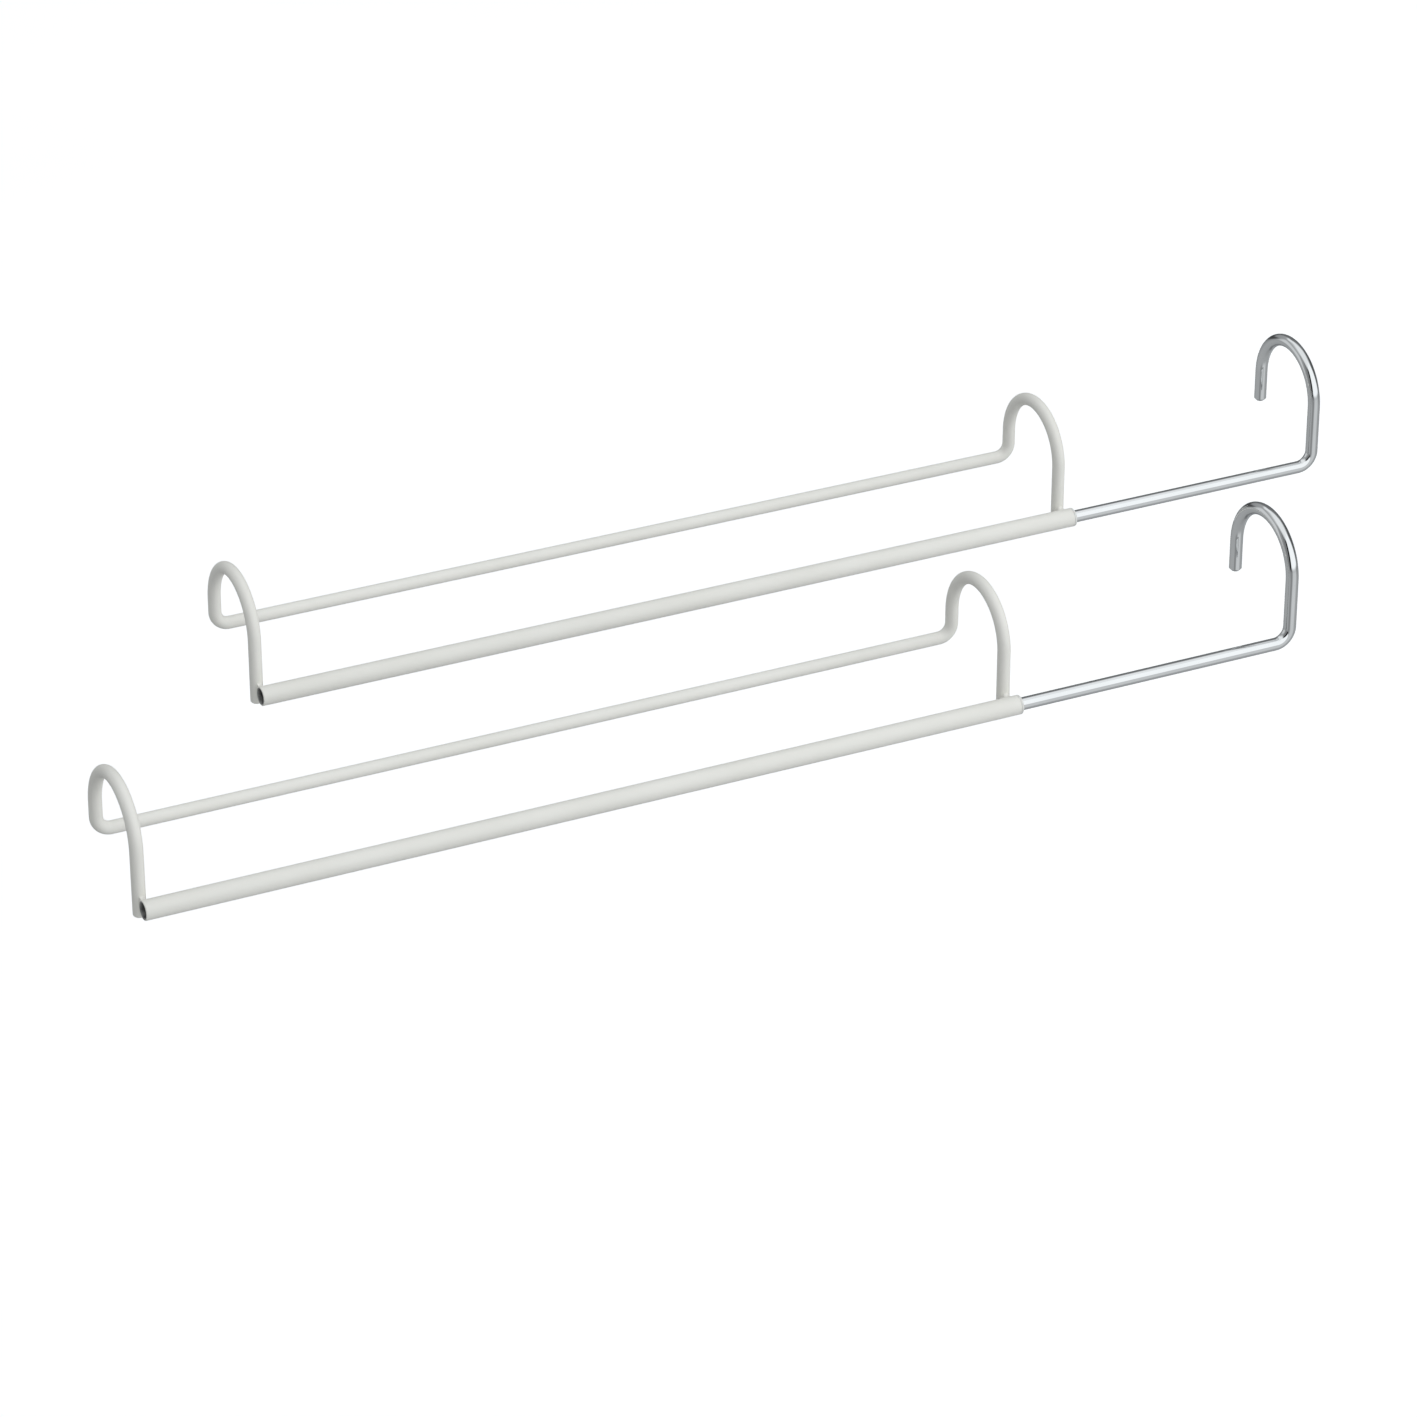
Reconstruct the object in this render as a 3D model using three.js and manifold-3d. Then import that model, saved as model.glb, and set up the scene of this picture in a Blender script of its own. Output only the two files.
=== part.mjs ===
// Pair of extendable hanging-file rails, in millimetres, +Z up.
//
// Each rail hooks over the top edge of a wall, such as a drawer side, and carries
// the hooks of suspension files on its tube and rod. A rail is a steel tube with one
// bent wire welded behind it, whose two arches hang over the wall, and a chromed rod
// that slides and turns in the tube and ends in a third hook.
//
// The origin is the seat of the front rail's left arch: the point of the arch's
// inside that rests on the wall. +X runs along the tube towards the chromed hook and
// +Y runs from the tube to the back wire.
import * as THREE from "three";
import { mergeVertices } from "three/addons/utils/BufferGeometryUtils.js";
import Module from "manifold-3d";

const manifold = await Module();
manifold.setup();

// Tube and its nylon mouth bush.
const TUBE_END = 440; // from the tube's open end to the outer face of the bush
const TUBE_RADIUS = 4.75;
const BORE_RADIUS = 3.75;
const TUBE_EDGE = 0.3; // chamfer on the tube's cut edges
const BUSH_LIP = 1.2; // thickness of the bush's collar outside the tube
const BUSH_DEPTH = 14; // how far the bush reaches into the tube
const BUSH_OUTER_RADIUS = 3.65;
const BUSH_BORE_RADIUS = 3.25;
const SEAT_GAP = 0.1; // between faces that rest on each other
const STEEL_END = TUBE_END - BUSH_LIP - SEAT_GAP; // the steel tube's right end

// White hanger wire. Heights are above the tube's axis, to the wire's centreline.
const WIRE_RADIUS = 3.15;
const WIRE_GAP = 0.2; // between wire and tube, bridged by the weld
const LEFT_LEG_X = 1.3;
const RIGHT_LEG_X = 435.5;
const LEG_BOTTOM = -7;
const ARCH_TOP = 50.5;
const HOOK_BEND = 25.5; // bend radius of every hook
const BACK_WIRE_HEIGHT = 10.5;
const BACK_BEND = 7;

// Weld bead round the point where a leg touches the tube.
const WELD_HALF_SIZE = [4.3, 2.1, 3.9];
const WELD_MIDDLE_HEIGHT = 0.5; // above the tube's axis
const WELD_MIDDLE_INSET = 0.2; // from the leg's nearest line into the leg
const WELD_CLEARANCE = 0.12; // to the tube and to the leg

// Chromed rod with its hook.
const ROD_RADIUS = 3.1;
const ROD_REACH_INSIDE = 430; // from the rod's inner end to the corner below its hook
const ROD_BEND = 8;
const ROD_HOOK_TOP = 58;
const ROD_TIP_HEIGHT = 15.5;
const HEAD_LENGTH = 1.6; // disc at the rod's inner end, which keeps the slider on
const NECK_LENGTH = 10; // turned-down length that the slider sits on
const NECK_RADIUS = 2.3;

// Nylon slider on the rod's neck.
const SLIDER_GAP = 0.2; // to the shoulders at both ends of the neck
const SLIDER_RADIUS = 3.6;
const SLIDER_BORE_RADIUS = 2.5;
const SLIDER_CHAMFER = 0.5;

// How far each rod's corner stands out of its tube, and where the rear rail lies.
const FRONT_EXTENSION = 148;
const REAR_EXTENSION = 140;
const REAR_RAIL_OFFSET = new THREE.Vector3(123, 165.5, 0);

// Facets. An odd number of hook steps puts one flat facet at the top of each hook.
const ROUND_SIDES = 24;
const WIRE_SIDES = 12;
const HOOK_STEPS = 13;
const CORNER_STEPS = 5;

const LEG_Y = TUBE_RADIUS + WIRE_RADIUS + WIRE_GAP;

const whiteCoat = () => new THREE.MeshStandardMaterial({ color: 0xe6e6e1, roughness: 0.42, metalness: 0 });
const chrome = () => new THREE.MeshStandardMaterial({ color: 0xd5dae0, roughness: 0.08, metalness: 1 });
const whiteNylon = () => new THREE.MeshStandardMaterial({ color: 0xe9e9e4, roughness: 0.5, metalness: 0 });
const greyNylon = () => new THREE.MeshStandardMaterial({ color: 0x8d9092, roughness: 0.6, metalness: 0 });

// A wire's centreline, walked from a start point by straight runs and round bends.
// Its stations are where the section is placed: few on a run and close on a bend.
class Route extends THREE.Curve {
  constructor(start, heading) {
    super();
    this.points = [start.clone()];
    this.headings = [heading.clone().normalize()];
  }

  run(length) {
    const heading = this.headings.at(-1);
    this.points.push(this.points.at(-1).clone().addScaledVector(heading, length));
    this.headings.push(heading.clone());
    return this;
  }

  // Turns by angle about axis, at the given radius, in equal steps.
  bend(axis, radius, angle, steps) {
    const start = this.points.at(-1);
    const heading = this.headings.at(-1);
    const toCentre = new THREE.Vector3().crossVectors(axis, heading).multiplyScalar(radius);
    const centre = start.clone().add(toCentre);
    for (let step = 1; step <= steps; step += 1) {
      const turned = (angle * step) / steps;
      const spoke = toCentre.clone().negate().applyAxisAngle(axis, turned);
      this.points.push(centre.clone().add(spoke));
      this.headings.push(heading.clone().applyAxisAngle(axis, turned));
    }
    return this;
  }

  get steps() {
    return this.points.length - 1;
  }

  getPointAt(u, target = new THREE.Vector3()) {
    return target.copy(this.points[Math.round(u * this.steps)]);
  }

  getTangentAt(u, target = new THREE.Vector3()) {
    return target.copy(this.headings[Math.round(u * this.steps)]);
  }
}

const X = new THREE.Vector3(1, 0, 0);
const Y = new THREE.Vector3(0, 1, 0);
const Z = new THREE.Vector3(0, 0, 1);
const minus = (axis) => axis.clone().negate();

// A round section with a flat on each side that faces along the bends' planes.
function wireSection(radius) {
  const corners = [];
  for (let side = 0; side < WIRE_SIDES; side += 1) {
    const angle = ((side + 0.5) * 2 * Math.PI) / WIRE_SIDES;
    corners.push(new THREE.Vector2(radius * Math.cos(angle), radius * Math.sin(angle)));
  }
  return new THREE.Shape(corners);
}

function sweep(radius, route) {
  return new THREE.ExtrudeGeometry(wireSection(radius), {
    steps: route.steps,
    extrudePath: route,
    bevelEnabled: false,
  });
}

// A turned piece about the X axis, with a flat on top. The profile lists
// [x, radius] pairs and either starts and ends on the axis or is a closed ring.
function turned(profile) {
  const points = profile.map(([x, radius]) => new THREE.Vector2(radius, x));
  const geometry = new THREE.LatheGeometry(points, ROUND_SIDES, Math.PI / ROUND_SIDES);
  return geometry.rotateZ(-Math.PI / 2);
}

function toSolid(geometry) {
  const bare = geometry.clone();
  bare.deleteAttribute("normal");
  bare.deleteAttribute("uv");
  const merged = mergeVertices(bare, 1e-4);
  return new manifold.Manifold(
    new manifold.Mesh({
      numProp: 3,
      vertProperties: Float32Array.from(merged.attributes.position.array),
      triVerts: Uint32Array.from(merged.index.array),
    }),
  );
}

function toGeometry(solid) {
  const mesh = solid.getMesh();
  const geometry = new THREE.BufferGeometry();
  geometry.setAttribute("position", new THREE.BufferAttribute(mesh.vertProperties, 3));
  geometry.setIndex(new THREE.BufferAttribute(mesh.triVerts, 1));
  return geometry;
}

function tubeGeometry() {
  return turned([
    [TUBE_EDGE, BORE_RADIUS],
    [0, BORE_RADIUS + TUBE_EDGE],
    [0, TUBE_RADIUS - TUBE_EDGE],
    [TUBE_EDGE, TUBE_RADIUS],
    [STEEL_END - TUBE_EDGE, TUBE_RADIUS],
    [STEEL_END, TUBE_RADIUS - TUBE_EDGE],
    [STEEL_END, BORE_RADIUS + TUBE_EDGE],
    [STEEL_END - TUBE_EDGE, BORE_RADIUS],
    [TUBE_EDGE, BORE_RADIUS],
  ]);
}

// One bent wire: left leg, left arch, back wire, right arch, right leg.
function hangerWireGeometry() {
  const archSpring = ARCH_TOP - HOOK_BEND;
  const backLeg = archSpring - BACK_WIRE_HEIGHT - BACK_BEND;
  const backRun = RIGHT_LEG_X - LEFT_LEG_X - 2 * BACK_BEND;
  const route = new Route(new THREE.Vector3(LEFT_LEG_X, LEG_Y, LEG_BOTTOM), Z)
    .run(archSpring - LEG_BOTTOM)
    .bend(minus(X), HOOK_BEND, Math.PI, HOOK_STEPS)
    .run(backLeg)
    .bend(minus(Y), BACK_BEND, Math.PI / 2, CORNER_STEPS)
    .run(backRun)
    .bend(minus(Y), BACK_BEND, Math.PI / 2, CORNER_STEPS)
    .run(backLeg)
    .bend(X, HOOK_BEND, Math.PI, HOOK_STEPS)
    .run(archSpring - LEG_BOTTOM);
  return sweep(WIRE_RADIUS, route);
}

// What a weld is hollowed by: a round bar along Y, with clearance.
function weldCutter(radius) {
  const length = 4 * WELD_HALF_SIZE[0];
  return new THREE.CylinderGeometry(radius + WELD_CLEARANCE, radius + WELD_CLEARANCE, length, ROUND_SIDES);
}

// The bead at a leg, hollowed by the tube and the leg and cut off at the tube's ends.
function weldGeometry(legX) {
  const bead = new THREE.SphereGeometry(1, 20, 12);
  bead.scale(...WELD_HALF_SIZE);
  bead.translate(0, LEG_Y - WIRE_RADIUS + WELD_MIDDLE_INSET, WELD_MIDDLE_HEIGHT);
  const tube = weldCutter(TUBE_RADIUS).rotateZ(Math.PI / 2);
  const leg = weldCutter(WIRE_RADIUS).rotateX(Math.PI / 2).translate(0, LEG_Y, 0);
  const solid = toSolid(bead)
    .subtract(toSolid(tube))
    .subtract(toSolid(leg))
    .trimByPlane([1, 0, 0], TUBE_EDGE - legX)
    .trimByPlane([-1, 0, 0], legX + TUBE_EDGE - STEEL_END);
  return toGeometry(solid);
}

// A thin liner in the tube's mouth, with a lip of the tube's own diameter.
function mouthBushGeometry() {
  const tubeFace = TUBE_END - BUSH_LIP;
  return turned([
    [tubeFace - BUSH_DEPTH, BUSH_BORE_RADIUS],
    [tubeFace - BUSH_DEPTH, BUSH_OUTER_RADIUS],
    [tubeFace, BUSH_OUTER_RADIUS],
    [tubeFace, TUBE_RADIUS],
    [TUBE_END - BUSH_LIP / 2, TUBE_RADIUS],
    [TUBE_END - BUSH_LIP / 5, TUBE_RADIUS - BUSH_LIP / 5],
    [TUBE_END, TUBE_RADIUS - BUSH_LIP / 2],
    [TUBE_END, BUSH_BORE_RADIUS],
    [tubeFace - BUSH_DEPTH, BUSH_BORE_RADIUS],
  ]);
}

// The rod, with x = 0 at its inner end.
function hookRodGeometry() {
  const shoulder = HEAD_LENGTH + NECK_LENGTH;
  const hookSpring = ROD_HOOK_TOP - HOOK_BEND;
  const route = new Route(new THREE.Vector3(shoulder, 0, 0), X)
    .run(ROD_REACH_INSIDE - ROD_BEND - shoulder)
    .bend(minus(Y), ROD_BEND, Math.PI / 2, CORNER_STEPS)
    .run(hookSpring - ROD_BEND)
    .bend(minus(X), HOOK_BEND, Math.PI, HOOK_STEPS)
    .run(hookSpring - ROD_TIP_HEIGHT);
  const spigot = turned([
    [0, 0],
    [0, ROD_RADIUS],
    [HEAD_LENGTH, ROD_RADIUS],
    [HEAD_LENGTH, NECK_RADIUS],
    [shoulder + 1, NECK_RADIUS],
    [shoulder + 1, 0],
  ]);
  return toGeometry(toSolid(sweep(ROD_RADIUS, route)).add(toSolid(spigot)));
}

// The slider, with x = 0 at the rod's inner end.
function sliderGeometry() {
  const start = HEAD_LENGTH + SLIDER_GAP;
  const end = HEAD_LENGTH + NECK_LENGTH - SLIDER_GAP;
  return turned([
    [start, SLIDER_BORE_RADIUS],
    [start, SLIDER_RADIUS - SLIDER_CHAMFER],
    [start + SLIDER_CHAMFER, SLIDER_RADIUS],
    [end - SLIDER_CHAMFER, SLIDER_RADIUS],
    [end, SLIDER_RADIUS - SLIDER_CHAMFER],
    [end, SLIDER_BORE_RADIUS],
    [start, SLIDER_BORE_RADIUS],
  ]);
}

function piece(name, geometry, material, x = 0) {
  const mesh = new THREE.Mesh(geometry, material);
  mesh.name = name;
  mesh.position.x = x;
  return mesh;
}

// One rail about its tube's axis, with x = 0 at the tube's open end.
function rail(side, extension) {
  const rodStart = TUBE_END + extension - ROD_REACH_INSIDE;
  const assembly = new THREE.Group();
  assembly.add(
    piece(`${side}_tube`, tubeGeometry(), whiteCoat()),
    piece(`${side}_mouth_bush`, mouthBushGeometry(), whiteNylon()),
    piece(`${side}_hanger_wire`, hangerWireGeometry(), whiteCoat()),
    piece(`${side}_left_weld`, weldGeometry(LEFT_LEG_X), whiteCoat(), LEFT_LEG_X),
    piece(`${side}_right_weld`, weldGeometry(RIGHT_LEG_X), whiteCoat(), RIGHT_LEG_X),
    piece(`${side}_hook_rod`, hookRodGeometry(), chrome(), rodStart),
    piece(`${side}_rod_slider`, sliderGeometry(), greyNylon(), rodStart),
  );
  return assembly;
}

// The seat of the left arch, in its rail's own frame: the middle of the flat facet
// at the top of the arch's inside.
const insideRadius = HOOK_BEND - WIRE_RADIUS * Math.cos(Math.PI / WIRE_SIDES);
const facetHeight = insideRadius * Math.cos(Math.PI / (2 * HOOK_STEPS));
const leftSeat = new THREE.Vector3(LEFT_LEG_X, LEG_Y + HOOK_BEND, ARCH_TOP - HOOK_BEND + facetHeight);

const frontRail = rail("front", FRONT_EXTENSION);
frontRail.position.copy(leftSeat).negate();
const rearRail = rail("rear", REAR_EXTENSION);
rearRail.position.copy(frontRail.position).add(REAR_RAIL_OFFSET);

const group = new THREE.Group();
group.add(frontRail, rearRail);
export default group;
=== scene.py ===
"""Looks of a pair of extendable hanging-file rails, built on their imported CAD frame.

Every CAD node is replaced by a fine smooth mesh in the same place. Its place comes
from the CAD boxes; bend radii and other inner sizes repeat the CAD's dimensions.
Metres, +Z up, +X along the tubes, +Y from a tube to its back wire.
"""

import math

import bpy
from mathutils import Matrix, Vector


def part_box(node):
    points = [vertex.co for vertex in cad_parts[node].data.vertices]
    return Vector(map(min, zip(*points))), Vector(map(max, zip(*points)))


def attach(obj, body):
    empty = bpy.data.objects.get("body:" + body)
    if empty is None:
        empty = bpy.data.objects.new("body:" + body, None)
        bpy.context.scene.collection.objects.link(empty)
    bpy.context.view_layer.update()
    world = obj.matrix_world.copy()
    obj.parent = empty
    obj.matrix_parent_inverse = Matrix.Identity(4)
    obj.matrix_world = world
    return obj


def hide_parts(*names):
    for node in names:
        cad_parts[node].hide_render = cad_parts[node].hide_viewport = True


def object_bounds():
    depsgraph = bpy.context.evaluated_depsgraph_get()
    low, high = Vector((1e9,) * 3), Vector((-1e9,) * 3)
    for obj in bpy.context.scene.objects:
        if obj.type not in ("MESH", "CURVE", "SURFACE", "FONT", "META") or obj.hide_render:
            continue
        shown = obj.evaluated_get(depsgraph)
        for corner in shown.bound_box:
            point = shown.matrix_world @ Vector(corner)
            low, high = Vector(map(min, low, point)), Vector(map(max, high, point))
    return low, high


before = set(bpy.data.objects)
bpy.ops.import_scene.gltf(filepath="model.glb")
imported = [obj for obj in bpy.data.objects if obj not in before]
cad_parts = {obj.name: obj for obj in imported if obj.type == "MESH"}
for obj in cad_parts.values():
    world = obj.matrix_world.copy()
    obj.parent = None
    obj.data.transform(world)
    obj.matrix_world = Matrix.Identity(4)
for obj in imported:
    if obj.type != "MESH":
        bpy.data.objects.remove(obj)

RAILS = ("front", "rear")
MM = 0.001

# Tube and mouth bush.
BORE_RADIUS = 3.75 * MM
TUBE_RIM_ROUNDING = 0.45 * MM
BORE_RIM_ROUNDING = 0.25 * MM
SEAM_ROUNDING = 0.1 * MM  # where the tube meets the bush's lip
BUSH_OUTER_RADIUS = 3.65 * MM
BUSH_BORE_RADIUS = 3.25 * MM
BUSH_LIP = 1.2 * MM
BUSH_ROUNDING = 0.5 * MM

# Hanger wire.
WIRE_RADIUS = 3.15 * MM
WIRE_END_ROUNDING = 1.2 * MM
HOOK_BEND = 25.5 * MM  # bend radius of every hook, the chromed ones included
BACK_WIRE_HEIGHT = 10.5 * MM  # above the tube's axis
BACK_BEND = 7 * MM

# Chromed rod and its slider.
ROD_RADIUS = 3.1 * MM
ROD_BEND = 8 * MM
ROD_TIP_HEIGHT = 15.5 * MM  # above the tube's axis
ROD_TIP_CHAMFER = 1.3 * MM
HEAD_LENGTH = 1.6 * MM
NECK_LENGTH = 10 * MM
NECK_RADIUS = 2.3 * MM
EDGE_BREAK = 0.25 * MM
SLIDER_BORE_RADIUS = 2.5 * MM
SLIDER_ROUNDING = 0.6 * MM

# Fillet weld between a leg and the tube: half sizes of its two feet, along X and Z.
FOOT_ON_TUBE = (4.1 * MM, 3.4 * MM)
FOOT_ON_LEG = (2.65 * MM, 4.1 * MM)
WELD_MIDDLE = 0.5 * MM  # above the tube's axis
WELD_HOLLOW = 0.3  # how far the fillet's face sinks towards the crevice
WELD_RIPPLE = 0.05
WELD_RIPPLES = 7
WELD_BURIED = 0.08 * MM  # how far its feet sink into the tube and the leg

# Fineness of the meshes.
ROUND_SIDES = 48
BEND_STEP = math.radians(3)
EDGE_STEPS = 5
WELD_AROUND = 72
WELD_ACROSS = 8
SHARP_ANGLE = math.radians(32)
NOTHING = 1e-6  # a shorter length than this, in metres, counts as none

LENGTH_MAP = "length"  # UV map in metres: along a piece, and round it
WELD_MAP_STEP = MM / 3  # how far that map moves from one row of a weld to the next

# Camera, from the same direction and distance as the photograph's.
CAMERA_AZIMUTH = math.radians(26.3)
CAMERA_ELEVATION = math.radians(27.73)
CAMERA_DISTANCE = 2.6277
CAMERA_TARGET = Vector((0.3232, 0.0629, -0.0681))
CAMERA_LENS = 139.81
SENSOR_WIDTH = 36

FLOOR_DROP = 0.35  # the rails hang: the floor is this far below them
FLOOR_SIZE = 30
FLOOR_GLOW = 0.3
BACKDROP = (0.93, 0.93, 0.93, 1)  # what the camera sees above the floor

ROOM_TINT = (0.97, 1.0, 1.02)
ROOM_STRENGTH = 1.08
KEY_DIRECTION = Vector((0.80, -0.45, 0.35))  # from the object to the softbox
KEY_DISTANCE = 3.0
KEY_SIZE = (2.4, 1.8)
KEY_POWER = 15

X = Vector((1, 0, 0))
Y = Vector((0, 1, 0))
Z = Vector((0, 0, 1))


# Shapes -----------------------------------------------------------------------------


class Route:
    """A centreline of straight runs and round bends, with a frame that never twists."""

    def __init__(self, start, heading, side):
        self.point = start.copy()
        self.frame = Matrix((heading, side, heading.cross(side))).transposed()
        self.length = 0.0
        self.segments = []
        self.stations = []

    def run(self, length):
        return self.add(length, None, 0.0)

    def bend(self, axis, radius, angle):
        steps = math.ceil(angle / BEND_STEP)
        self.stations += [self.length + radius * angle * k / steps for k in range(steps + 1)]
        return self.add(radius * angle, axis, radius)

    def add(self, length, axis, radius):
        self.segments.append((self.length, self.point, self.frame, axis, radius))
        self.length += length
        self.point, self.frame = self.at(self.length)
        return self

    def at(self, distance):
        """The point, and the frame with the tangent as first column, at a distance."""
        begun = [s for s in self.segments if s[0] <= distance] or self.segments[:1]
        start, point, turned, axis, radius = begun[-1]
        tangent = turned.col[0]
        along = distance - start
        if axis is None:
            return point + tangent * along, turned
        rotation = Matrix.Rotation(along / radius, 3, axis)
        centre = point + axis.cross(tangent) * radius
        return centre + rotation @ (point - centre), rotation @ turned


def rounded(corners):
    """The outline through corners (distance, radius, rounding), each with its arc."""
    outline = []
    for index, (distance, radius, rounding) in enumerate(corners):
        corner = Vector((distance, radius))
        if not rounding:
            outline.append(corner)
            continue
        following = corners[(index + 1) % len(corners)]
        back = (Vector(corners[index - 1][:2]) - corner).normalized()
        ahead = (Vector(following[:2]) - corner).normalized()
        half = back.angle(ahead) / 2
        centre = corner + (back + ahead).normalized() * rounding / math.sin(half)
        first = (corner + back * rounding / math.tan(half) - centre).normalized()
        last = (corner + ahead * rounding / math.tan(half) - centre).normalized()
        for step in range(EDGE_STEPS + 1):
            outline.append(centre + first.slerp(last, step / EDGE_STEPS) * rounding)
    return outline


def with_stations(outline, stations):
    """The outline with a point at every station that one of its long edges passes."""
    full = []
    for point, following in zip(outline, outline[1:] + outline[-1:]):
        full.append(point)
        span = following[0] - point[0]
        if not span:
            continue
        low, high = sorted((point[0], following[0]))
        inside = [s for s in stations if low + NOTHING < s < high - NOTHING]
        passed = sorted(inside, reverse=span < 0)
        full += [point.lerp(following, (s - point[0]) / span) for s in passed]
    return full


def turned_mesh(name, route, outline, ring):
    """A round body along a route. ring says whether the outline closes on itself."""
    profile = with_stations(outline, route.stations)
    vertices = []
    rings = []
    for distance, radius in profile:
        centre, turned = route.at(distance)
        start = len(vertices)
        if radius < NOTHING:
            vertices.append(centre)
            rings.append([start] * (ROUND_SIDES + 1))
            continue
        for side in range(ROUND_SIDES):
            angle = 2 * math.pi * side / ROUND_SIDES
            spoke = turned.col[1] * math.cos(angle) + turned.col[2] * math.sin(angle)
            vertices.append(centre + spoke * radius)
        rings.append([start + side % ROUND_SIDES for side in range(ROUND_SIDES + 1)])
    faces = []
    places = []
    pairs = len(profile) if ring else len(profile) - 1
    girth = 2 * math.pi * max(radius for _, radius in profile)
    for index in range(pairs):
        after = (index + 1) % len(profile)
        for side in range(ROUND_SIDES):
            corners = [(index, side), (index, side + 1), (after, side + 1), (after, side)]
            face = {}
            for row, column in corners:
                place = (profile[row][0], girth * column / ROUND_SIDES)
                face.setdefault(rings[row][column], place)
            faces.append(list(face))
            places += face.values()
    return smooth_mesh(name, vertices, faces, places)


def smooth_mesh(name, vertices, faces, places):
    mesh = bpy.data.meshes.new(name)
    mesh.from_pydata(vertices, [], faces)
    layer = mesh.uv_layers.new(name=LENGTH_MAP)
    for item, place in zip(layer.data, places):
        item.uv = place
    mesh.shade_smooth()
    mesh.set_sharp_from_angle(angle=SHARP_ANGLE)
    return mesh


def tube_axis(rail):
    """The middle of the tube's open end."""
    low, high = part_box(f"{rail}_tube")
    return Vector((low.x, (low.y + high.y) / 2, (low.z + high.z) / 2))


def straight_route(node, rail):
    low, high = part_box(node)
    start = tube_axis(rail)
    start.x = low.x
    return Route(start, X, Y).run(high.x - low.x)


def outer_radius(node):
    low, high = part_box(node)
    return (high.y - low.y) / 2


def tube_mesh(name, rail):
    route = straight_route(f"{rail}_tube", rail)
    radius = outer_radius(f"{rail}_tube")
    outline = rounded([
        (0, BORE_RADIUS, BORE_RIM_ROUNDING),
        (0, radius, TUBE_RIM_ROUNDING),
        (route.length, radius, SEAM_ROUNDING),
        (route.length, BORE_RADIUS, BORE_RIM_ROUNDING),
    ])
    mesh = turned_mesh(name, route, outline, ring=True)
    axis = tube_axis(rail)
    wall = (radius + BORE_RADIUS) / 2
    for face in mesh.polygons:
        off_axis = face.center - axis
        face.material_index = int(math.hypot(off_axis.y, off_axis.z) < wall)
    return mesh


def bush_mesh(name, rail):
    route = straight_route(f"{rail}_mouth_bush", rail)
    radius = outer_radius(f"{rail}_mouth_bush")
    lip = route.length - BUSH_LIP
    outline = rounded([
        (0, BUSH_BORE_RADIUS, 0),
        (0, BUSH_OUTER_RADIUS, SEAM_ROUNDING),
        (lip, BUSH_OUTER_RADIUS, 0),
        (lip, radius, SEAM_ROUNDING),
        (route.length, radius, BUSH_ROUNDING),
        (route.length, BUSH_BORE_RADIUS, BUSH_ROUNDING),
    ])
    return turned_mesh(name, route, outline, ring=True)


def slider_mesh(name, rail):
    route = straight_route(f"{rail}_rod_slider", rail)
    radius = outer_radius(f"{rail}_rod_slider")
    outline = rounded([
        (0, SLIDER_BORE_RADIUS, 0),
        (0, radius, SLIDER_ROUNDING),
        (route.length, radius, SLIDER_ROUNDING),
        (route.length, SLIDER_BORE_RADIUS, 0),
    ])
    return turned_mesh(name, route, outline, ring=True)


def hanger_wire_mesh(name, rail):
    low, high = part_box(f"{rail}_hanger_wire")
    axis = tube_axis(rail)
    left = low.x + WIRE_RADIUS
    right = high.x - WIRE_RADIUS
    spring = high.z - WIRE_RADIUS - HOOK_BEND
    back_leg = spring - (axis.z + BACK_WIRE_HEIGHT) - BACK_BEND
    start = Vector((left, low.y + WIRE_RADIUS, low.z))
    route = Route(start, Z, X)
    route.run(spring - low.z)
    route.bend(-X, HOOK_BEND, math.pi)
    route.run(back_leg)
    route.bend(-Y, BACK_BEND, math.pi / 2)
    route.run(right - left - 2 * BACK_BEND)
    route.bend(-Y, BACK_BEND, math.pi / 2)
    route.run(back_leg)
    route.bend(X, HOOK_BEND, math.pi)
    route.run(spring - low.z)
    outline = rounded([
        (0, 0, 0),
        (0, WIRE_RADIUS, WIRE_END_ROUNDING),
        (route.length, WIRE_RADIUS, WIRE_END_ROUNDING),
        (route.length, 0, 0),
    ])
    return turned_mesh(name, route, outline, ring=False)


def hook_rod_mesh(name, rail):
    low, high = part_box(f"{rail}_hook_rod")
    axis = tube_axis(rail)
    spring = high.z - ROD_RADIUS - HOOK_BEND
    rise = spring - axis.z - ROD_BEND
    shoulder = HEAD_LENGTH + NECK_LENGTH
    route = Route(Vector((low.x, axis.y, axis.z)), X, Y)
    route.run(high.x - ROD_RADIUS - ROD_BEND - low.x)
    route.bend(-Y, ROD_BEND, math.pi / 2)
    route.run(rise)
    route.bend(-X, HOOK_BEND, math.pi)
    route.run(spring - axis.z - ROD_TIP_HEIGHT)
    outline = rounded([
        (0, 0, 0),
        (0, ROD_RADIUS, EDGE_BREAK),
        (HEAD_LENGTH, ROD_RADIUS, EDGE_BREAK),
        (HEAD_LENGTH, NECK_RADIUS, 0),
        (shoulder, NECK_RADIUS, 0),
        (shoulder, ROD_RADIUS, EDGE_BREAK),
        (route.length - ROD_TIP_CHAMFER, ROD_RADIUS, EDGE_BREAK),
        (route.length, ROD_RADIUS - ROD_TIP_CHAMFER, EDGE_BREAK),
        (route.length, 0, 0),
    ])
    return turned_mesh(name, route, outline, ring=False)


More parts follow.
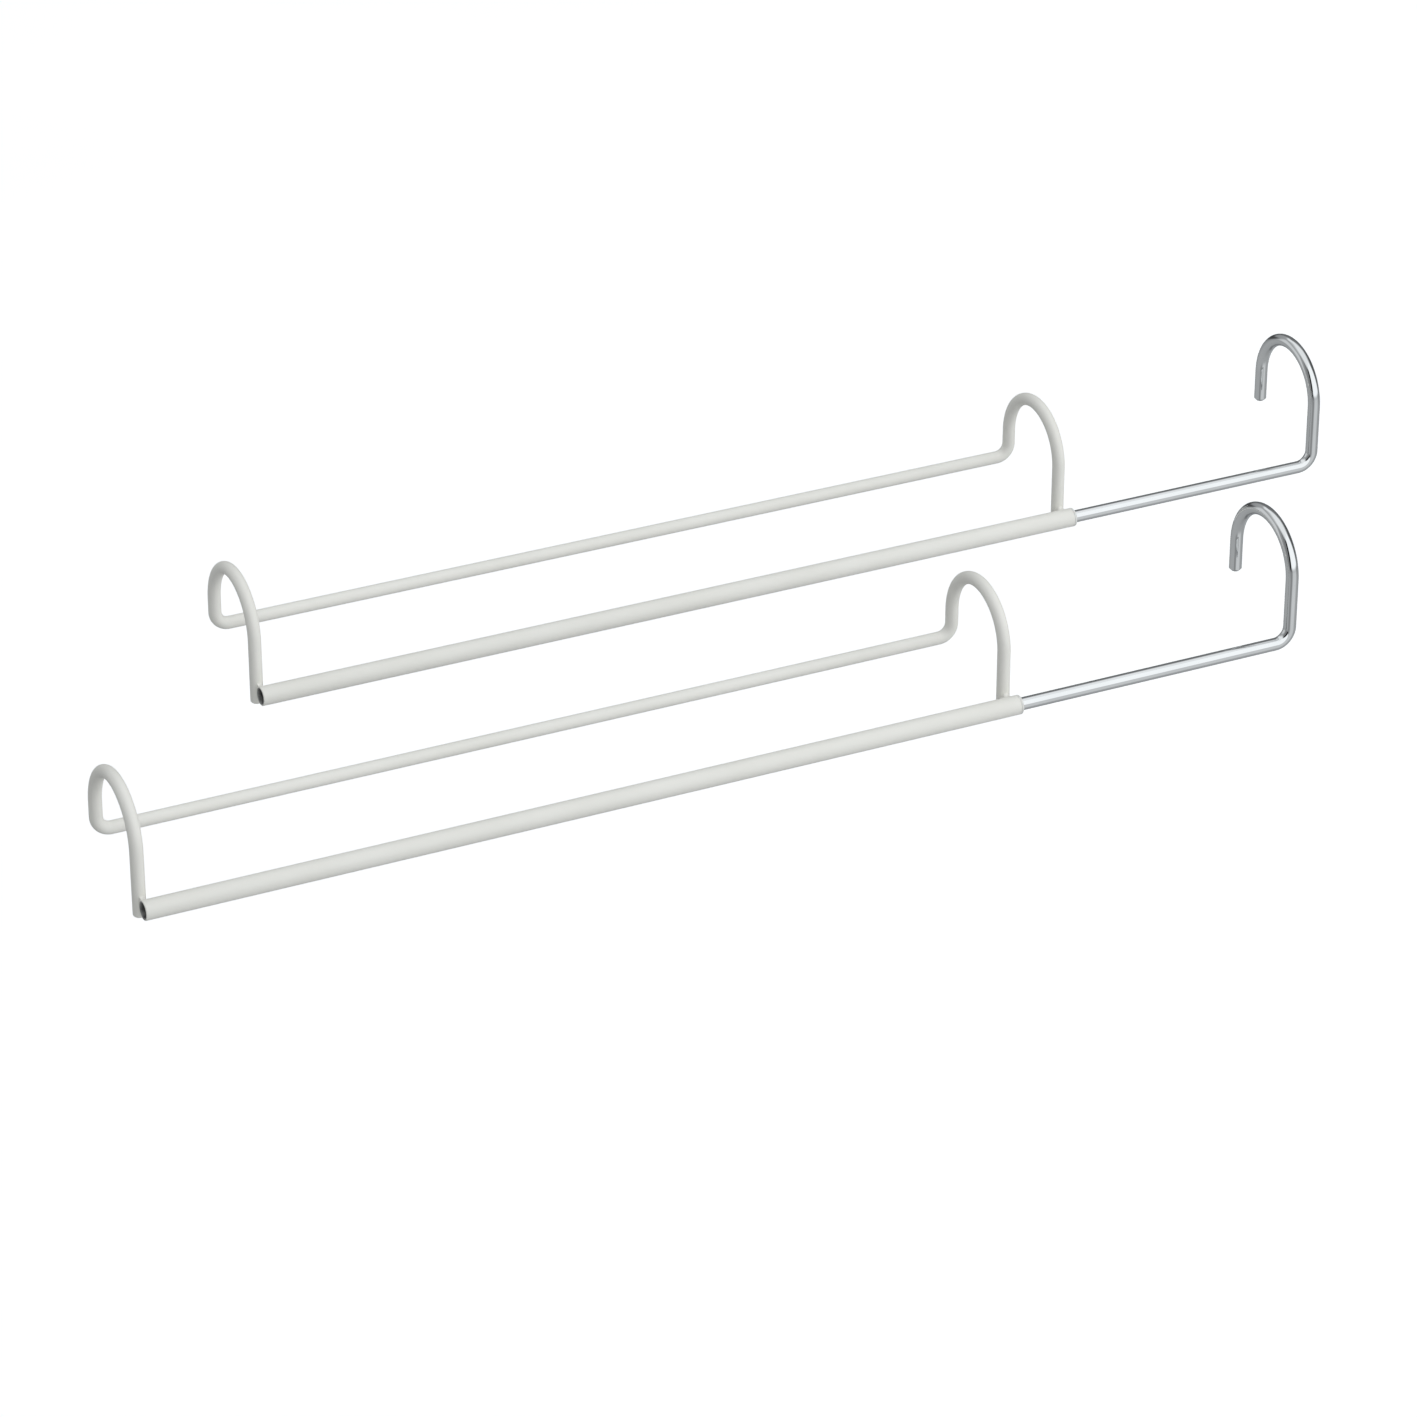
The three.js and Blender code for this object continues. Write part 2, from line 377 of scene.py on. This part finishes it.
def weld_mesh(name, rail, end):
    """A ring-shaped fillet in the crevice where a round leg touches the round tube."""
    axis = tube_axis(rail)
    wire_low, wire_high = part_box(f"{rail}_hanger_wire")
    leg_y = wire_low.y + WIRE_RADIUS
    leg_x = wire_low.x + WIRE_RADIUS if end == "left" else wire_high.x - WIRE_RADIUS
    middle = Vector((leg_x, 0, axis.z))
    foot_radius_tube = outer_radius(f"{rail}_tube") - WELD_BURIED
    foot_radius_leg = WIRE_RADIUS - WELD_BURIED
    tube_low, tube_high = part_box(f"{rail}_tube")
    left_limit = tube_low.x - leg_x + TUBE_RIM_ROUNDING
    right_limit = tube_high.x - leg_x - TUBE_RIM_ROUNDING

    def on_tube(x, z):
        return Vector((x, axis.y + math.sqrt(foot_radius_tube ** 2 - z * z), z))

    def on_leg(x, z):
        return Vector((x, leg_y - math.sqrt(foot_radius_leg ** 2 - x * x), z))

    vertices = []
    rows = WELD_ACROSS + 1
    for around in range(WELD_AROUND):
        angle = 2 * math.pi * around / WELD_AROUND
        ripple = 1 + WELD_RIPPLE * math.sin(WELD_RIPPLES * angle)
        cosine = math.cos(angle) * ripple
        sine = math.sin(angle) * ripple
        across_tube = min(max(FOOT_ON_TUBE[0] * cosine, left_limit), right_limit)
        across_leg = min(max(FOOT_ON_LEG[0] * cosine, left_limit), right_limit)
        tube_foot = on_tube(across_tube, WELD_MIDDLE + FOOT_ON_TUBE[1] * sine)
        leg_foot = on_leg(across_leg, WELD_MIDDLE + FOOT_ON_LEG[1] * sine)
        root = (tube_foot + leg_foot) / 2
        root.x *= 1 - WELD_HOLLOW
        root.z = WELD_MIDDLE + (root.z - WELD_MIDDLE) * (1 - WELD_HOLLOW)
        for across in range(rows):
            t = across / WELD_ACROSS
            face = tube_foot * (1 - t) ** 2 + root * 2 * t * (1 - t) + leg_foot * t ** 2
            vertices.append(middle + face)
    faces = []
    places = []
    for around in range(WELD_AROUND):
        here = around * rows
        there = (around + 1) % WELD_AROUND * rows
        for across in range(WELD_ACROSS):
            faces.append([here + across, there + across, there + across + 1, here + across + 1])
            corners = [(around, across), (around + 1, across)]
            corners += [(around + 1, across + 1), (around, across + 1)]
            places += [(column * WELD_MAP_STEP, row * WELD_MAP_STEP) for column, row in corners]
    return smooth_mesh(name, vertices, faces, places)


# Materials --------------------------------------------------------------------------


class Finish:
    """A node material on one Principled shader, built up by its few methods."""

    def __init__(self, name, metallic=0.0):
        self.material = bpy.data.materials.new(name)
        self.material.use_nodes = True
        self.nodes = self.material.node_tree.nodes
        self.links = self.material.node_tree.links
        self.shader = self.nodes["Principled BSDF"]
        self.shader.inputs["Metallic"].default_value = metallic

    def object_place(self):
        return self.nodes.new("ShaderNodeTexCoord").outputs["Object"]

    def length_place(self, along, round_about):
        """Coordinates along and round a piece, with cycles per metre for each."""
        place = self.nodes.new("ShaderNodeUVMap")
        place.uv_map = LENGTH_MAP
        stretch = self.nodes.new("ShaderNodeMapping")
        stretch.inputs["Scale"].default_value = (along, round_about, 1)
        self.links.new(place.outputs["UV"], stretch.inputs["Vector"])
        return stretch.outputs["Vector"]

    def noise(self, place, scale, detail=3.0):
        texture = self.nodes.new("ShaderNodeTexNoise")
        texture.inputs["Scale"].default_value = scale
        texture.inputs["Detail"].default_value = detail
        self.links.new(place, texture.inputs["Vector"])
        return texture.outputs["Fac"]

    def ramp(self, factor, stops):
        """A colour that runs through (position, grey or colour) stops."""
        ramp = self.nodes.new("ShaderNodeValToRGB")
        while len(ramp.color_ramp.elements) < len(stops):
            ramp.color_ramp.elements.new(0.5)
        for element, (position, colour) in zip(ramp.color_ramp.elements, stops):
            element.position = position
            element.color = (*colour, 1)
        self.links.new(factor, ramp.inputs["Fac"])
        return ramp.outputs["Color"]

    def spread(self, factor, low, high):
        """Maps a noise, whose middle half carries most of it, to low..high."""
        mapped = self.nodes.new("ShaderNodeMapRange")
        mapped.inputs["From Min"].default_value = 0.3
        mapped.inputs["From Max"].default_value = 0.7
        mapped.inputs["To Min"].default_value = low
        mapped.inputs["To Max"].default_value = high
        self.links.new(factor, mapped.inputs["Value"])
        return mapped.outputs["Result"]

    def colour(self, colour):
        self.links.new(colour, self.shader.inputs["Base Color"])

    def roughness(self, value):
        self.links.new(value, self.shader.inputs["Roughness"])

    def bumps(self, *layers):
        """Stacks bumps (height, depth in metres) onto the normal."""
        normal = None
        for height, depth in layers:
            bump = self.nodes.new("ShaderNodeBump")
            bump.inputs["Distance"].default_value = depth
            self.links.new(height, bump.inputs["Height"])
            if normal:
                self.links.new(normal, bump.inputs["Normal"])
            normal = bump.outputs["Normal"]
        self.links.new(normal, self.shader.inputs["Normal"])


def powder_coat():
    """Warm white, satin, with the fine orange peel of sprayed and baked powder."""
    finish = Finish("powder_coat")
    place = finish.object_place()
    tone = finish.noise(place, 25)
    finish.colour(finish.ramp(tone, [(0.35, (0.85, 0.836, 0.783)), (0.65, (0.875, 0.861, 0.812))]))
    finish.roughness(finish.spread(finish.noise(place, 140), 0.42, 0.54))
    finish.bumps((finish.noise(place, 650, 2.0), 0.05 * MM), (finish.noise(place, 2600, 2.0), 0.008 * MM))
    return finish.material


def bore_steel_and_painted_shade():
    """Bare steel in the bore, with a little coating blown in at its open end; further in, its colour is
    painted darker towards black as painted shade.
    """
    finish = Finish("bore_steel_and_painted_shade")
    place = finish.object_place()
    blotches = finish.noise(place, 400)
    reach = finish.nodes.new("ShaderNodeSeparateXYZ")
    finish.links.new(finish.length_place(1, 1), reach.inputs["Vector"])
    ragged = finish.nodes.new("ShaderNodeMath")
    ragged.operation = "MULTIPLY_ADD"
    ragged.inputs[1].default_value = 4 * MM
    finish.links.new(blotches, ragged.inputs[0])
    finish.links.new(reach.outputs["X"], ragged.inputs[2])
    depth = finish.nodes.new("ShaderNodeMapRange")
    depth.inputs["From Min"].default_value = 2 * MM
    depth.inputs["From Max"].default_value = 7 * MM
    finish.links.new(ragged.outputs["Value"], depth.inputs["Value"])
    # Grey at the open end, where coating is blown in; the near black further in is painted shade of the
    # bore.
    stops = [(0, (0.35, 0.35, 0.34)), (0.35, (0.10, 0.10, 0.098)), (1, (0.045, 0.043, 0.042))]
    finish.colour(finish.ramp(depth.outputs["Result"], stops))
    finish.roughness(finish.spread(blotches, 0.45, 0.7))
    finish.bumps((blotches, 0.04 * MM))
    return finish.material


def chrome():
    """Bright plating over drawn wire: faint lines along it and a hardly visible waviness."""
    finish = Finish("chrome", metallic=1.0)
    cloud = finish.noise(finish.object_place(), 60)
    finish.colour(finish.ramp(cloud, [(0.3, (0.725, 0.735, 0.737)), (0.7, (0.76, 0.768, 0.77))]))
    finish.roughness(finish.spread(cloud, 0.02, 0.05))
    drawn = finish.noise(finish.length_place(25, 2200), 1.0, 2.0)
    ripple = finish.noise(finish.length_place(90, 130), 1.0, 1.0)
    finish.bumps((ripple, 0.005 * MM), (drawn, 0.001 * MM))
    finish.shader.inputs["Specular Tint"].default_value = (0.65, 0.66, 0.67, 1)
    return finish.material


def nylon(name, dark, light):
    """Moulded nylon, with a slight grain and a little light inside it."""
    finish = Finish(name)
    place = finish.object_place()
    grain = finish.noise(place, 900)
    finish.colour(finish.ramp(finish.noise(place, 120), [(0.35, dark), (0.65, light)]))
    finish.roughness(finish.spread(grain, 0.45, 0.6))
    finish.shader.inputs["Subsurface Weight"].default_value = 0.15
    finish.shader.inputs["Subsurface Radius"].default_value = (0.0012, 0.001, 0.0009)
    finish.bumps((grain, 0.02 * MM))
    return finish.material


# Pieces -----------------------------------------------------------------------------


def place_piece(node, mesh, materials, body):
    piece = bpy.data.objects.new(mesh.name, mesh)
    bpy.context.scene.collection.objects.link(piece)
    for material in materials:
        mesh.materials.append(material)
    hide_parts(node)
    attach(piece, body)


def build_rail(rail, finishes):
    coat = [finishes["coat"]]
    tube = tube_mesh(f"{rail}_coated_tube", rail)
    place_piece(f"{rail}_tube", tube, coat + [finishes["bore"]], f"{rail}_rail")
    wire = hanger_wire_mesh(f"{rail}_bent_wire", rail)
    place_piece(f"{rail}_hanger_wire", wire, coat, f"{rail}_rail")
    for end in ("left", "right"):
        weld = weld_mesh(f"{rail}_{end}_fillet", rail, end)
        place_piece(f"{rail}_{end}_weld", weld, coat, f"{rail}_rail")
    bush = bush_mesh(f"{rail}_mouth_liner", rail)
    place_piece(f"{rail}_mouth_bush", bush, [finishes["white"]], f"{rail}_rail")
    rod = hook_rod_mesh(f"{rail}_chromed_rod", rail)
    place_piece(f"{rail}_hook_rod", rod, [finishes["chrome"]], f"{rail}_rod")
    slider = slider_mesh(f"{rail}_nylon_slider", rail)
    place_piece(f"{rail}_rod_slider", slider, [finishes["grey"]], f"{rail}_slider")


# Studio -----------------------------------------------------------------------------


def build_floor(below):
    half = FLOOR_SIZE / 2
    corners = [(-half, -half, 0), (half, -half, 0), (half, half, 0), (-half, half, 0)]
    mesh = bpy.data.meshes.new("floor")
    mesh.from_pydata(corners, [], [(0, 1, 2, 3)])
    floor = bpy.data.objects.new("floor", mesh)
    floor.location.z = below - FLOOR_DROP
    floor.visible_glossy = False
    floor.visible_diffuse = False
    bpy.context.scene.collection.objects.link(floor)
    finish = Finish("pale_floor")
    tone = finish.noise(finish.object_place(), 3)
    finish.colour(finish.ramp(tone, [(0.35, (0.93, 0.93, 0.93)), (0.65, (0.95, 0.95, 0.95))]))
    finish.shader.inputs["Roughness"].default_value = 0.9
    finish.shader.inputs["Specular IOR Level"].default_value = 0.1
    finish.shader.inputs["Emission Color"].default_value = (1, 1, 1, 1)
    finish.shader.inputs["Emission Strength"].default_value = FLOOR_GLOW
    mesh.materials.append(finish.material)


class Room:
    """A soft room as a world shader: light by height, with windows and dark walls on it."""

    def __init__(self):
        world = bpy.data.worlds.new("studio")
        world.use_nodes = True
        bpy.context.scene.world = world
        self.nodes = world.node_tree.nodes
        self.links = world.node_tree.links
        direction = self.nodes.new("ShaderNodeTexCoord").outputs["Generated"]
        split = self.nodes.new("ShaderNodeSeparateXYZ")
        self.links.new(direction, split.inputs["Vector"])
        away = self.math("MULTIPLY", split.outputs["Y"], -1.0)
        self.azimuth = self.math("ARCTAN2", split.outputs["X"], away)
        self.elevation = self.math("ARCSINE", split.outputs["Z"])

    def math(self, operation, first, second=None, third=None):
        made = self.nodes.new("ShaderNodeMath")
        made.operation = operation
        for socket, value in zip(made.inputs, (first, second, third)):
            if isinstance(value, float):
                socket.default_value = value
            elif value is not None:
                self.links.new(value, socket)
        return made.outputs["Value"]

    def light_by_height(self, stops):
        """The light that the windows lie on: (elevation in degrees, level) stops."""
        height = self.nodes.new("ShaderNodeMapRange")
        height.inputs["From Min"].default_value = -math.pi / 2
        height.inputs["From Max"].default_value = math.pi / 2
        self.links.new(self.elevation, height.inputs["Value"])
        ramp = self.nodes.new("ShaderNodeValToRGB")
        while len(ramp.color_ramp.elements) < len(stops):
            ramp.color_ramp.elements.new(0.5)
        for element, (degrees, level) in zip(ramp.color_ramp.elements, stops):
            element.position = (degrees + 90) / 180
            element.color = (level, level, level, 1)
        self.links.new(height.outputs["Result"], ramp.inputs["Fac"])
        self.light = ramp.outputs["Color"]

    def within(self, angle, middle, half_width, softness):
        """One inside the span of an angle, zero outside, with a soft edge."""
        shifted = self.math("SUBTRACT", angle, math.radians(middle))
        wrapped = self.math("WRAP", shifted, math.pi, -math.pi)
        edge = self.nodes.new("ShaderNodeMapRange")
        edge.interpolation_type = "SMOOTHSTEP"
        edge.inputs["From Min"].default_value = math.radians(half_width + softness)
        edge.inputs["From Max"].default_value = math.radians(half_width - softness)
        self.links.new(self.math("ABSOLUTE", wrapped), edge.inputs["Value"])
        return edge.outputs["Result"]

    def window(self, azimuths, elevations, level, softness=6):
        """Lays a patch of that level over the light so far. Degrees; azimuth 0 is the front."""
        masks = []
        for angle, (low, high) in ((self.azimuth, azimuths), (self.elevation, elevations)):
            masks.append(self.within(angle, (low + high) / 2, (high - low) / 2, softness))
        mixed = self.nodes.new("ShaderNodeMix")
        mixed.data_type = "RGBA"
        self.links.new(self.math("MULTIPLY", *masks), mixed.inputs["Factor"])
        self.links.new(self.light, mixed.inputs["A"])
        mixed.inputs["B"].default_value = (level, level, level, 1)
        self.light = mixed.outputs["Result"]

    def finish(self, tint, strength):
        """Tints the light. The camera itself sees a plain pale backdrop above the floor."""
        scaled = self.nodes.new("ShaderNodeVectorMath")
        scaled.operation = "MULTIPLY"
        self.links.new(self.light, scaled.inputs[0])
        scaled.inputs[1].default_value = tint
        seen = self.nodes.new("ShaderNodeMix")
        seen.data_type = "RGBA"
        self.links.new(self.nodes.new("ShaderNodeLightPath").outputs["Is Camera Ray"], seen.inputs["Factor"])
        self.links.new(scaled.outputs["Vector"], seen.inputs["A"])
        seen.inputs["B"].default_value = BACKDROP
        background = self.nodes["Background"]
        background.inputs["Strength"].default_value = strength
        self.links.new(seen.outputs["Result"], background.inputs["Color"])


def build_room():
    room = Room()
    room.light_by_height([
        (-90, 0.33),
        (-68, 0.40),
        (-30, 0.43),
        (-18, 0.40),
        (0, 0.26),
        (15, 0.36),
        (36, 0.42),
        (50, 0.62),
        (64, 0.95),
        (90, 0.90),
    ])
    # Behind the object: a bright panel overhead, a dark strip at its own height, and a
    # darker patch of ground.
    room.window((158, 204), (38, 120), 0.92, 5)
    room.window((116, 246), (-7, 6), 0.08, 4)
    room.window((120, 200), (-84, -64), 0.25, 5)
    # On the right: walls that get darker towards the front.
    room.window((116, 168), (2, 50), 0.20)
    room.window((68, 118), (0, 42), 0.11)
    # On the left: a wall in three steps, black next to the front window.
    room.window((-104, -84), (-8, 48), 0.34, 5)
    room.window((-86, -62), (-6, 48), 0.22, 5)
    room.window((-60, -36), (-8, 48), 0.0, 4)
    room.window((-58, -30), (-40, -6), 0.28, 6)
    # A low, bright window at the left rear.
    room.window((-150, -106), (-10, 26), 0.70)
    # The ground in front of the object and at its right, lit by the windows.
    room.window((-20, 44), (-48, 0), 0.66, 9)
    room.window((96, 138), (-56, -32), 0.56)
    # The front window, brightest of all.
    room.window((-34, 62), (0, 62), 1.12, 5)
    room.finish(ROOM_TINT, ROOM_STRENGTH)


def add_softbox(name, direction, distance, size, power):
    light = bpy.data.lights.new(name, "AREA")
    light.shape = "RECTANGLE"
    light.size = size[0]
    light.size_y = size[1]
    light.energy = power
    lamp = bpy.data.objects.new(name, light)
    lamp.visible_glossy = False  # the room's own windows are what the chrome mirrors
    outward = direction.normalized()
    lamp.location = CAMERA_TARGET + outward * distance
    lamp.rotation_euler = outward.to_track_quat("Z", "Y").to_euler()
    bpy.context.scene.collection.objects.link(lamp)


def build_camera():
    camera = bpy.data.cameras.new("camera")
    camera.sensor_fit = "HORIZONTAL"
    camera.sensor_width = SENSOR_WIDTH
    camera.lens = CAMERA_LENS
    camera.clip_end = 100
    eye = bpy.data.objects.new("camera", camera)
    level = math.cos(CAMERA_ELEVATION)
    back = Vector((
        -math.sin(CAMERA_AZIMUTH) * level,
        -math.cos(CAMERA_AZIMUTH) * level,
        math.sin(CAMERA_ELEVATION),
    ))
    eye.location = CAMERA_TARGET + back * CAMERA_DISTANCE
    eye.rotation_euler = (math.pi / 2 - CAMERA_ELEVATION, 0, -CAMERA_AZIMUTH)
    bpy.context.scene.collection.objects.link(eye)
    bpy.context.scene.camera = eye


cad_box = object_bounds()
all_finishes = {
    "coat": powder_coat(),
    "bore": bore_steel_and_painted_shade(),
    "chrome": chrome(),
    "white": nylon("white_nylon", (0.76, 0.76, 0.73), (0.81, 0.81, 0.78)),
    "grey": nylon("grey_nylon", (0.24, 0.25, 0.26), (0.30, 0.31, 0.32)),
}
for rail_name in RAILS:
    build_rail(rail_name, all_finishes)
build_floor(cad_box[0][2])
build_room()
add_softbox("key", KEY_DIRECTION, KEY_DISTANCE, KEY_SIZE, KEY_POWER)
build_camera()
bpy.context.scene.view_settings.view_transform = "Standard"
